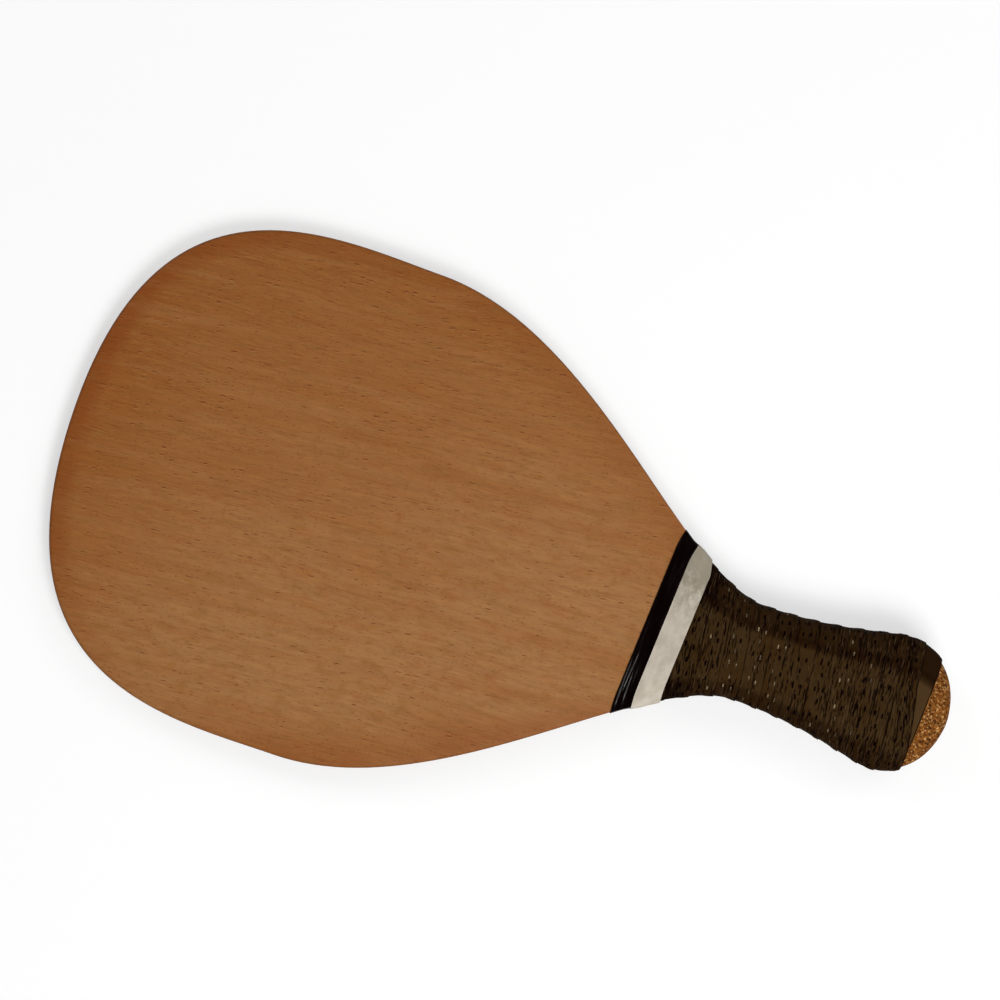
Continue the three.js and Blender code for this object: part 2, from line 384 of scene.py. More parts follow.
def veneer_colour(grain, spot, broad, patch):
    """Colour of the wood without its pores, and its tone: 0 where it is deep and 1 where pale. The tone
    is partly painted light: paler towards +X and -Y, the key lamp's side, and over the middle of the
    head.
    """
    # Painted light: the tone rises towards +X and -Y, where the key lamp stands, with a random
    # unevenness
    drift = calc("SUBTRACT", spot[0], spot[1])
    drift = calc("ADD", drift, swing(broad, tone_unevenness))
    over_head = between(spot[0], *pale_head_rise)
    over_head = times(over_head, between(spot[0], *pale_head_fall, 1.0, 0.0))
    painted_light_and_tone = calc("MULTIPLY_ADD", over_head, 0.2, between(drift, *painted_light_tone_run))
    # Painted shade: the wood is darkened towards the +Y side of the throat and neck, away from the key
    # lamp
    plus_side = calc("MULTIPLY_ADD", spot[0], plus_side_slant, spot[1])
    minus_side = calc("SUBTRACT", times(spot[0], minus_side_slant), spot[1])
    band = noise(grain, (90, 7, 7))
    band_share = blend(painted_light_and_tone, 0.38, 0.24)
    ochre = noise(moved(grain, noise_offset), (8, 4, 4))
    colour = layered(
        mix(painted_light_and_tone, veneer_deep, veneer_pale),
        (between(plus_side, *plus_side_run), 0.5, veneer_deep),
        (between(minus_side, *minus_side_run), 0.8, veneer_deep),
        (between(broad, 0.52, 0.7), 0.4, veneer_deep),
        (between(band, 0.5, 0.68), band_share, veneer_pale),
        (between(band, 0.5, 0.32), band_share, veneer_deep),
        (between(patch, 0.48, 0.75), 0.38, veneer_red),
        (between(ochre, 0.5, 0.7), 0.6, veneer_ochre),
    )
    return colour, painted_light_and_tone


def pore_marks(grain, painted_light_and_tone):
    """Open pores of the veneer: single dark marks, fine broken lines and specks, and painted
    highlights: pale glints beside the marks and short pale lines.
    """
    lines_at = noise(grain, (38, 3, 40), detail=1.0)
    crowd = between(lines_at, 0.38, 0.62, 0.15, 1.0)
    crowd = times(crowd, blend(painted_light_and_tone, 1.0, 0.55))
    keep = blend(painted_light_and_tone, 0.26, 0.13)
    marks = strokes(grain, mark_sizes, keep)
    glints = strokes(grain, glint_sizes, keep, shift=(-0.3, 0.5))
    lines = strokes(grain, line_sizes, 0.6, shift=(13, 7))
    threads = strokes(grain, thread_sizes, 0.5, shift=(3, 47))
    specks = strokes(grain, speck_sizes, 0.45, shift=(5, 29))
    pale = strokes(grain, glint_line_sizes, 0.45, shift=(31, 17))
    fine = calc("MAXIMUM", lines, times(threads, 0.7))
    fine = calc("MAXIMUM", times(fine, crowd), specks)
    return marks, fine, calc("MAXIMUM", glints, times(pale, 0.6))


def rim_tint_and_shade_share(tree, spot, broad):
    """How far the sanded rim is darkened: a mild tint all round, and painted shade that is strongest at
    the crown's +Y side, away from the key lamp, and uneven.
    """
    outward = calc("SUBTRACT", 1.0, read(tree, "inward"))
    towards_crown = calc("MULTIPLY_ADD", spot[1], 0.5, times(spot[0], -1.0))
    share = between(towards_crown, *rim_shade_run, 0.15, 0.45)
    uneven = between(broad, 0.3, 0.7, 0.8, 1.3)
    return times(between(outward, 0.0, 0.85), share, uneven)


def glue_lines(spot):
    """1 along the glue lines between the plies, and 0 elsewhere and on both faces of the blade."""
    level = calc("DIVIDE", calc("SUBTRACT", spot[2], middle_height), ply_thickness)
    off_joint = calc("ABSOLUTE", calc("SUBTRACT", calc("FRACT", level), 0.5))
    joint = between(off_joint, 0.0, glue_line / ply_thickness, 1.0, 0.0)
    past_last_joint = (len(ply_names) - 0.4) / 2
    is_inside = calc("LESS_THAN", calc("ABSOLUTE", level), past_last_joint)
    return times(joint, is_inside)


def veneer_material(name, grain_degrees, roughness, darker=0.0, is_face=False):
    constants = {"Specular_IOR_Level": 0.14, "Coat_Weight": 0.05, "Coat_Roughness": 0.5}
    material, tree, surface = new_material(name, **constants)
    place = node("TexCoord", {}, tree).outputs["Object"]
    spot = node("SeparateXYZ", {0: place}).outputs
    grain = veneer_grain(place, grain_degrees)
    broad = noise(grain, (140, 24, 24), detail=3.0)
    patch = noise(grain, (10, 4.5, 4.5), detail=3.0)
    fibre = noise(grain, (12, 0.9, 0.9), detail=4.0, roughness=0.6)
    hair = noise(grain, (4, 0.42, 0.42))
    streak = noise(grain, (26, 1.6, 1.6), detail=3.0)
    shade = times(
        between(fibre, 0.3, 0.7, 0.945, 1.05),
        between(hair, 0.3, 0.7, 0.955, 1.04),
        between(streak, 0.3, 0.7, 0.94, 1.055),
        1.0 - darker,
    )
    grey = node("CombineColor", {0: shade, 1: shade, 2: shade}).outputs[0]
    colour, painted_light_and_tone = veneer_colour(grain, spot, broad, patch)
    colour = mix(1.0, colour, grey, "MULTIPLY")
    relief = times(fibre, 0.35)
    rough = between(patch, 0.2, 0.8, roughness - 0.05, roughness + 0.05)
    if is_face:
        marks, fine, pale = pore_marks(grain, painted_light_and_tone)
        colour = layered(
            colour,
            # Painted highlights: pale glints beside the pores, and short pale lines
            (pale, blend(painted_light_and_tone, 0.55, 0.4), painted_glint_pale),
            (fine, 0.8, line_brown),
            (marks, 0.8, pore_brown),
            # A darker rim: a mild tint, and painted shade away from the key lamp
            (rim_tint_and_shade_share(tree, spot, broad), 1.0, rim_tint_and_shade_brown),
        )
        hollow = calc("ADD", marks, times(fine, 0.5))
        relief = calc("MULTIPLY_ADD", hollow, -0.25, relief)
        rough = calc("MULTIPLY_ADD", hollow, 0.2, rough)
    colour = layered(colour, (glue_lines(spot), 0.75, glue_brown))
    join_surface(tree, surface, colour, rough, relief, strength=0.25, depth=0.12 * mm)
    return material


veneers = {
    "face_veneer": veneer_material("face_veneer", face_grain_degrees, 0.5, is_face=True),
    "long_veneer": veneer_material("long_veneer", 0, 0.6, darker=0.08),
    "cross_veneer": veneer_material("cross_veneer", 90, 0.7, darker=0.3),
}


def ply_slot(index):
    if index in (0, len(ply_names) - 1):
        return "face_veneer"
    return "long_veneer" if index % 2 == 0 else "cross_veneer"


def finish_piece(piece, node_name, material, smooth_degrees=40):
    """Gives a made piece its name, shading, material and place in the assembly."""
    piece.name = piece.data.name = node_name + "_look"
    piece.data.materials.clear()
    piece.data.materials.append(material)
    pick_out(piece)
    bpy.ops.object.shade_smooth_by_angle(angle=math.radians(smooth_degrees))
    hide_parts(node_name)
    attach(piece, "root")


def cut_level(piece, height, keep_below):
    """Cuts a piece level at a height, keeps the part below or above, and closes the cut."""
    edit(piece)
    bpy.ops.mesh.bisect(
        plane_co=(0, 0, height),
        plane_no=(0, 0, 1),
        use_fill=True,
        clear_inner=not keep_below,
        clear_outer=keep_below,
    )
    close()


for index, name in enumerate(ply_names):
    pick_out(blade)
    bpy.ops.object.duplicate()
    ply = bpy.context.object
    bottom = middle_height + (index - len(ply_names) / 2) * ply_thickness
    if index > 0:
        cut_level(ply, bottom, keep_below=False)
    if index < len(ply_names) - 1:
        cut_level(ply, bottom + ply_thickness, keep_below=True)
    slot = ply_slot(index)
    finish_piece(ply, name, veneers[slot])
bpy.data.objects.remove(blade)

# Handle scales: two slabs of pressed cork granules, glued on the faces of the tang, bevelled along
# both sides and rounded over at the butt. Each ramps down to the blade at the neck. Only the butt
# end shows, past the edge of the grip.
scale_thickness = 8.5 * mm
scale_butt_radius = 5 * mm
scale_ramp_lead = 22 * mm
scale_ramp_run = 38 * mm
scale_tip_thickness = 0.6 * mm
grip_end_station = 138 * mm
scale_ramp_station = grip_end_station - scale_ramp_lead
section_width_shares = [1, 1, 0.96, 0.8, 0.61, 0.34, 0]
section_height_shares = [0, 0, 0.3, 0.68, 0.96, 1, 1]
quarter = len(section_width_shares) - 1
places = 4 * quarter
merge_distance = 0.002 * mm

plan_samples = 400
plan_curve = []
for near, far in zip(side_knots()[:3], side_knots()[1:4]):
    corners = [Vector((*point, 0)) for point in (near[0], near[2], far[1], far[0])]
    plan_curve += interpolate_bezier(*corners, plan_samples)
plan_stations = np.array([point.x for point in plan_curve])
plan_widths = np.array([point.y for point in plan_curve])


def ring_values(shares, front_sign):
    """One value for each place round the section, from the middle of the -Y side over the front."""
    values = []
    for place in range(places):
        half = place % (2 * quarter)
        index = half if half <= quarter else 2 * quarter - half
        is_front = place < 2 * quarter
        if front_sign:
            values.append(shares[index] if is_front else -shares[index])
        else:
            values.append(shares[index] * (-1 if (half <= quarter) == is_front else 1))
    return np.array(values, float)


ring_across = ring_values(section_width_shares, front_sign=False)
ring_tang = ring_values([0] + [blade_thickness / 2] * quarter, front_sign=True)
ring_crown = ring_values(section_height_shares, front_sign=True)


def ring_curve(values, place):
    """A closed smooth curve through the values, which never swings past them."""
    after = np.roll(values, -1) - values
    before = np.roll(after, 1)
    both = before * after
    slopes = np.where(both > 0, 2 * both / np.where(both > 0, before + after, 1), 0)
    first = np.floor(place).astype(int)
    t = place - first
    low, high = first % places, (first + 1) % places
    return (
        values[low] * (1 + 2 * t) * (1 - t) ** 2
        + slopes[low] * t * (1 - t) ** 2
        + values[high] * t * t * (3 - 2 * t)
        + slopes[high] * t * t * (t - 1)
    )


def half_width(station):
    return np.interp(station, plan_stations, plan_widths)


def scale_height(station):
    rounding = np.maximum(0, scale_butt_radius - station)
    drop = scale_butt_radius - np.sqrt(scale_butt_radius**2 - rounding**2)
    share = np.clip((station - scale_ramp_station) / scale_ramp_run, 0, 1)
    return (scale_thickness - drop) * (1 + np.cos(math.pi * share)) / 2


def section(station, place):
    across = ring_curve(ring_across, place) * half_width(station)
    up = ring_curve(ring_tang, place) + ring_curve(ring_crown, place) * scale_height(station)
    return across, up


def on_handle(station, place, lift):
    """Points over the handle: its surface at a station and a place round it, moved out by lift."""
    beside = 0.1
    across, up = section(station, place)
    across_before, up_before = section(station, place - beside)
    across_after, up_after = section(station, place + beside)
    run, rise = across_after - across_before, up_after - up_before
    length = np.maximum(np.hypot(run, rise), 1e-9)
    return np.stack(
        [
            overall_length / 2 - station,
            across - lift * rise / length,
            middle_height + up + lift * run / length,
        ],
        axis=-1,
    )


def wrapped_grid(name, steps_along, steps_round, spot):
    """A flat grid, carried to where spot says. Its u runs along and its v round, from 0 to 1."""
    bpy.ops.object.select_all(action="DESELECT")
    bpy.ops.mesh.primitive_grid_add(
        x_subdivisions=steps_along, y_subdivisions=steps_round, size=2
    )
    piece = bpy.context.object
    piece.name = name
    flat = np.empty(len(piece.data.vertices) * 3)
    piece.data.vertices.foreach_get("co", flat)
    flat = flat.reshape(-1, 3)
    u = np.round((flat[:, 0] + 1) / 2 * steps_along) / steps_along
    v = np.round((flat[:, 1] + 1) / 2 * steps_round) / steps_round
    piece.data.vertices.foreach_set("co", spot(u, v).ravel())
    piece.data.update()
    return piece, u, v


def seal(piece):
    """Merges where the sheet meets itself, caps its open ends, and turns its faces outward."""
    edit(piece)
    bpy.ops.mesh.remove_doubles(threshold=merge_distance)
    bpy.ops.mesh.select_all(action="DESELECT")
    bpy.ops.mesh.select_non_manifold(
        extend=False,
        use_wire=False,
        use_multi_face=False,
        use_non_contiguous=False,
        use_verts=False,
    )
    bpy.ops.mesh.edge_face_add()
    bpy.ops.mesh.select_all(action="SELECT")
    bpy.ops.mesh.normals_make_consistent(inside=False)
    close()


cork_tan = (0.330, 0.120, 0.020, 1)
cork_orange = (0.180, 0.054, 0.005, 1)
cork_light = (0.62, 0.34, 0.110, 1)
cork_dark = (0.045, 0.010, 0.001, 1)
granule_mm = (1.4,) * 3
fine_granule_mm = (0.8,) * 3
cork_warp = 1.7 * mm


def cells(vector, size, result, feature="F1"):
    """One value of a pattern of crooked cells, which are about this size in mm."""
    inputs = {"Vector": in_grains(vector, size), "Scale": 1.0}
    return node("TexVoronoi", inputs, feature=feature).outputs[result]


def cork_material():
    material, tree, surface = new_material("cork", Specular_IOR_Level=0.12)
    place = node("TexCoord", {}, tree).outputs["Object"]
    wander = noise(place, (1, 1, 1), result="Color")
    warp = {0: wander, 1: (cork_warp,) * 3, 2: place}
    place = node("VectorMath", warp, operation="MULTIPLY_ADD").outputs[0]
    gap = cells(place, granule_mm, "Distance", feature="DISTANCE_TO_EDGE")
    pick = node("SeparateColor", {0: cells(place, granule_mm, "Color")}).outputs
    fleck = node("SeparateColor", {0: cells(place, fine_granule_mm, "Color")}).outputs
    seam = between(gap, 0.0, 0.12, 1.0, 0.0)
    colour = layered(
        mix(pick[0], cork_orange, cork_tan),
        (calc("GREATER_THAN", fleck[0], 0.80), 0.8, cork_light),
        (calc("GREATER_THAN", fleck[1], 0.70), 0.85, cork_dark),
        (seam, 0.5, cork_dark),
    )
    mottle = calc("SUBTRACT", times(fleck[2], 0.5), seam)
    rough = between(pick[1], 0.0, 1.0, 0.72, 0.92)
    join_surface(tree, surface, colour, rough, mottle, strength=0.6, depth=0.15 * mm)
    return material


cork = cork_material()
scale_tip_share = math.acos(2 * scale_tip_thickness / scale_thickness - 1) / math.pi
scale_tip_station = scale_ramp_station + scale_ramp_run * scale_tip_share
scale_steps = 140
scale_round_steps = 80
top_share = 0.8
butt_crowding = 1.6


def scale_skin(face):
    """The skin of one scale: over its outside for most of v, then back across its flat side."""

    def spot(u, v):
        station = scale_tip_station * u**butt_crowding
        over = np.clip(v / top_share, 0, 1)
        across, up = section(station, 1 + over * (2 * quarter - 2))
        back = np.clip((v - top_share) / (1 - top_share), 0, 1)
        under = v > top_share
        across = np.where(under, half_width(station) * (1 - 2 * back), across)
        up = np.where(under, blade_thickness / 2, up)
        x = overall_length / 2 - station
        return np.stack([x, across, middle_height + face * up], axis=-1)

    return spot


for node_name, face in (("cork_scale_front", 1), ("cork_scale_back", -1)):
    scale, _, _ = wrapped_grid(node_name, scale_steps, scale_round_steps, scale_skin(face))
    seal(scale)
    finish_piece(scale, node_name, cork)

# Grip: one ribbon of perforated, dark-brown soft polyurethane. It starts with a tapered tail at the
# butt and is wound towards the neck, each turn over the edge of the one before, so every turn has a
# raised edge on its butt side. Use has creased it along the winding, most of all near the butt.
grip_start_station = 12.5 * mm
grip_pitch = 11 * mm
grip_lap = 2.6 * mm
grip_edge_lift = 1.5 * mm
grip_lap_lift = 1.08 * mm
ribbon_thickness = 0.45 * mm
ribbon_edge_round = 0.4 * mm
least_lift = 0.1 * mm
edge_sink = 0.08 * mm
edge_overhang = 0.3 * mm
settle_run = 3.5 * mm
tuck_lead = 0.4 * mm
tuck_run = 1.2 * mm
tuck_depth = 0.22 * mm
first_turn = 0.15
end_margin = 2 * mm
last_turn = (grip_end_station - end_margin - grip_start_station) / grip_pitch + 1
ribbon_steps = 2600
ribbon_columns = 29
inner_columns = 4
edge_crowding = 1.25
length_samples = 4000
row_spacing = 6.3 * mm
column_offset = 1.9 * mm
slot_half_length = 0.72 * mm
slot_radius = 0.35 * mm
slot_dimple = 0.16 * mm
dimple_run = (-0.5 * mm, 0.25 * mm)
slot_drift, drift_by_row, drift_by_side = 0.6 * mm, 12.3, 4.1
slot_sway, sway_by_row, sway_by_side = 0.22 * mm, 7.7, 2.3
hand_sway = 1.1 * mm
tail_reach = 3.0 * mm
tail_fade_turns = (1.7, 3.0)
rise_turns = (1.08, 1.32)
butt_lean = 1.0 * mm
edge_wave = 0.35 * mm
edge_wave_run = 5 * mm
edge_wave_length = 7 * mm
fine_ripple_sizes = (5 * mm, 0.9 * mm)
fine_ripple, worn_ripple = 0.03 * mm, 0.07 * mm
broad_ripple_sizes, broad_ripple = (18 * mm, 5 * mm), 0.06 * mm
ripple_run = 0.8 * mm
worn_stations = (45 * mm, 110 * mm)
pressed_share = 0.25
pressed_stations = (122 * mm, 133 * mm)


def soft_noise(along, across, along_size, across_size, seed):
    """Smooth random values from -1 to 1, in cells of the given size."""
    rows, columns = 512, 256
    table = np.random.default_rng(seed).uniform(-1, 1, (rows, columns))
    a, b = along / along_size, across / across_size
    i, j = np.floor(a).astype(int), np.floor(b).astype(int)
    s, t = a - i, b - j
    s, t = s * s * (3 - 2 * s), t * t * (3 - 2 * t)
    value = 0
    for di, wi in ((0, 1 - s), (1, s)):
        for dj, wj in ((0, 1 - t), (1, t)):
            value = value + wi * wj * table[(i + di) % rows, (j + dj) % columns]
    return value


ring_stations = np.linspace(5 * mm, grip_end_station, 30)
ring_samples = 481
round_places = np.linspace(0, places, ring_samples)
rings = np.array(
    [on_handle(np.full(ring_samples, station), round_places, 1 * mm) for station in ring_stations]
)
ring_steps = np.linalg.norm(np.diff(rings, axis=1), axis=2)
girths = ring_steps.sum(axis=1)
middle_ring = ring_steps[len(ring_stations) // 2]
girth_shares = np.concatenate([[0], np.cumsum(middle_ring)]) / middle_ring.sum()


def evenly_round(share):
    """The place on the section that is this share of the way round it, by length."""
    return np.interp(share % 1, girth_shares, np.linspace(0, 1, ring_samples)) * places


def edge_station(turn):
    """Station of the ribbon's raised edge. Wound by hand, it runs steeper over the front."""
    sway = hand_sway * np.cos(2 * math.pi * turn)
    wide_tail = tail_reach * (1 - eased(turn, *tail_fade_turns))
    rise = grip_pitch * (turn - 1) - sway + wide_tail
    return grip_start_station + eased(turn, *rise_turns) * rise


def ribbon_layout(u, v):
    """Where each vertex lies on the flat ribbon, and where that part of the ribbon is on the handle."""
    turn = first_turn + (last_turn - first_turn) * u
    low = edge_station(turn)
    seam = np.minimum(grip_end_station, edge_station(turn + 1))
    high = np.minimum(grip_end_station, seam + grip_lap)
    column = np.round(v * (ribbon_columns + inner_columns))
    is_outer = column <= ribbon_columns - 1
    share = np.where(
        is_outer,
        column / (ribbon_columns - 1),
        1 - (column - ribbon_columns) / (inner_columns - 1),
    )
    share = np.where(column == ribbon_columns + inner_columns, 0, share)
    # The first columns crowd at the raised edge, to round it
    share = np.where(is_outer, share**edge_crowding, share)
    is_outer = is_outer | (column == ribbon_columns + inner_columns)
    across = share * (high - low)
    station = low + across
    place = np.floor(turn) * places + evenly_round(turn)
    samples = np.linspace(first_turn, last_turn, length_samples)
    sample_station = grip_start_station + grip_pitch * np.maximum(0, samples - 0.5)
    steps = np.interp(sample_station, ring_stations, girths) * (samples[1] - samples[0])
    along = np.interp(turn, samples, np.cumsum(steps))
    return turn, along, across, station, place, is_outer, seam - low


def slot_gap(along, across):
    """How far each place on the ribbon is from the nearest slot: rows of two and of one by turns."""
    row = np.floor(along / row_spacing)
    off_middle = across - grip_pitch / 2
    side = np.where(row % 2 == 0, np.sign(off_middle), 0)
    drift = slot_drift * np.sin(row * drift_by_row + side * drift_by_side)
    sway = slot_sway * np.sin(row * sway_by_row + side * sway_by_side)
    off_row = along - (row + 0.5) * row_spacing + drift
    off_column = off_middle - side * column_offset + sway
    return np.hypot(np.maximum(0, np.abs(off_row) - slot_half_length), off_column) - slot_radius


def ribbon_spot(u, v):
    turn, along, across, station, place, is_outer, visible = ribbon_layout(u, v)
    settle = eased(across, grip_lap * 0.7, grip_lap + settle_run)
    top = grip_edge_lift + (grip_lap_lift - grip_edge_lift) * settle
    tuck = eased(across, visible - tuck_lead, visible + tuck_run) * tuck_depth
    under_edge = np.where(turn < 1, least_lift, grip_lap_lift - edge_sink)
    rounding = np.sqrt(1 - (1 - np.clip(across / ribbon_edge_round, 0, 1)) ** 2)
    outer = under_edge + (top - under_edge) * rounding - tuck
    dimple = eased(-slot_gap(along, across), *dimple_run) * slot_dimple
    dimple = np.where(turn > 1, dimple, 0)
    worn = 1 - eased(station, *worn_stations)
    ripple = soft_noise(along, across, *fine_ripple_sizes, seed=3)
    ripple *= fine_ripple + worn_ripple * worn
    ripple += soft_noise(along, across, *broad_ripple_sizes, seed=4) * broad_ripple
    outer = outer - dimple + ripple * eased(across, 0, ripple_run)
    inner = np.minimum(top, under_edge + edge_overhang) - ribbon_thickness
    inner = np.maximum(least_lift, inner)
    inner = np.where(across < ribbon_edge_round, under_edge, inner - tuck)
    lift = np.where(is_outer, outer, np.minimum(inner, outer - least_lift))
    wave = soft_noise(along, np.zeros(len(along)), edge_wave_length, 1.0, seed=5) * edge_wave
    station = station + wave * eased(turn, 1.1, 1.3) * (1 - eased(across, 0, edge_wave_run))
    side = section(station, place)[0] / half_width(station)
    near_butt = 1 - eased(station, grip_start_station, grip_start_station + grip_pitch)
    station = np.minimum(station - butt_lean * side * near_butt, grip_end_station)
    pressed = 1 - pressed_share * eased(station, *pressed_stations)
    return on_handle(station, place, lift * pressed)


def attribute(piece, name, *columns):
    """Gives each point of the piece a value, or three of them."""
    kind, field = ("FLOAT", "value") if len(columns) == 1 else ("FLOAT_VECTOR", "vector")
    made = piece.data.attributes.new(name, kind, "POINT")
    made.data.foreach_set(field, np.stack(columns, axis=-1).astype(np.float32).ravel())


# The share of the slots in each turn, from the butt on, that show clean and pale. Which ones they
# are goes by row and side. Fewer of them show on the +Y side
clean_shares = np.array([0, 0, 0, 0.25, 0.6, 0.12, 0.05, 0.65, 0.85, 0.9, 0.15, 0.05, 0, 0, 0])
clean_by_row, clean_by_side = 0.618, 0.27
pale_side_cut = 0.6
corner_shade_stations = (121 * mm, 129 * mm)
butt_wear_stations = (45 * mm, 80 * mm)
neck_wear_stations, neck_wear = (106 * mm, 120 * mm), 0.7
far_from_seam = 9

grip, u, v = wrapped_grid("grip", ribbon_steps, ribbon_columns + inner_columns, ribbon_spot)
turn, along, across, station, place, is_outer, visible = ribbon_layout(u, v)
side_place = section(station, place)[0] / half_width(station)
# Fewer slots show pale towards the +Y side
pale_by_side = 1 - pale_side_cut * eased(side_place, 0.35, 0.8)
corner_shade_side = np.maximum(eased(side_place, 0.35, 0.65), eased(-side_place, 0.6, 0.85))
near_butt = 1 - eased(station, *butt_wear_stations)
near_neck = eased(station, *neck_wear_stations)
attribute(grip, "ribbon", along, across, turn)
attribute(grip, "pale", clean_shares[np.floor(turn).astype(int)] * pale_by_side)
# Painted shade: the grip's corners darken towards its neck end, beside the tapes
attribute(grip, "corner", eased(station, *corner_shade_stations) * corner_shade_side)
attribute(grip, "side", side_place)
attribute(grip, "wear", near_butt + neck_wear * near_neck)
attribute(grip, "tail", 1 - eased(turn, 0.95, 1.0))
attribute(grip, "seam_depth", np.where(turn < 1, far_from_seam, (visible - across) / mm))
seal(grip)

# Colours of the grip, and the sizes of its creases and ridges in mm
grip_brown = (0.0425, 0.0222, 0.0070, 1)
grip_warm = (0.0375, 0.0178, 0.0046, 1)
grime_and_side_shade = (0.0105, 0.0028, 0.0003, 1)
tail_tone_and_sheen = (0.0680, 0.0365, 0.0135, 1)
ridge_highlight = (0.0820, 0.0510, 0.0270, 1)
painted_shade_black = (0.0022, 0.0002, 0.0003, 1)
slot_cream = (0.235, 0.168, 0.095, 1)
long_crease_sizes = (10, 0.95, 8.0, 1.7)
short_crease_sizes = (3.2, 0.66, 3.4, 1.25)
ridge_sizes = (6.0, 0.5, 5.0, 1.4)
crease_bend = 1.6 * mm
pressed_offset = (60 * mm,) * 3
edge_shadow_run = (0.3 * mm, 1.0 * mm)
slot_shade_run = (-0.02 * mm, 0.18 * mm)
dimple_shade_run = (0.0, 0.5 * mm)
core_run = (-0.06 * mm, 0.04 * mm)


def slot_marks(along, across, clean_share):
    """The gap to the nearest slot, laid out as slot_gap does it, and whether that slot is clean."""
    row = calc("FLOOR", calc("DIVIDE", along, row_spacing))
    is_pair = calc("LESS_THAN", calc("FLOORED_MODULO", row, 2.0), 0.5)
    off_middle = calc("SUBTRACT", across, grip_pitch / 2)
    side = times(calc("SIGN", off_middle), is_pair)

    def both(by_row, by_side):
        return calc("MULTIPLY_ADD", row, by_row, times(side, by_side))

    drift = times(calc("SINE", both(drift_by_row, drift_by_side)), slot_drift)
    sway = times(calc("SINE", both(sway_by_row, sway_by_side)), slot_sway)
    row_middle = times(calc("ADD", row, 0.5), row_spacing)
    off_row = calc("ADD", calc("SUBTRACT", along, row_middle), drift)
    off_column = calc("MULTIPLY_ADD", side, -column_offset, off_middle)
    off_column = calc("ADD", off_column, sway)
    past_end = calc("SUBTRACT", calc("ABSOLUTE", off_row), slot_half_length)
    past_end = calc("MAXIMUM", past_end, 0.0)
    offset = node("CombineXYZ", {0: past_end, 1: off_column}).outputs[0]
    length = node("VectorMath", {0: offset}, operation="LENGTH").outputs["Value"]
    pick = calc("FRACT", both(clean_by_row, clean_by_side))
    is_clean = calc("LESS_THAN", pick, clean_share)
    return calc("SUBTRACT", length, slot_radius), is_clean


def grip_creases(ribbon, keep):
    """Long bent and short straight creases, coloured black as painted shade, and the ridges between
    them, which are given painted highlights.
    """
    bent = noise(ribbon, (3.5, 4), detail=1.0)
    bend = node("CombineXYZ", {1: swing(bent, crease_bend)}).outputs[0]
    bent_ribbon = moved(ribbon, bend)
    crisp = {"faint": 0.6, "soft": 0.3}
    short_shift = (19, 9)
    long_creases = strokes(bent_ribbon, long_crease_sizes, keep, **crisp)
    short_creases = strokes(ribbon, short_crease_sizes, keep, shift=short_shift, **crisp)
    ridges = strokes(ribbon, ridge_sizes, keep, shift=(37, 23))
    return calc("MAXIMUM", long_creases, short_creases), ridges


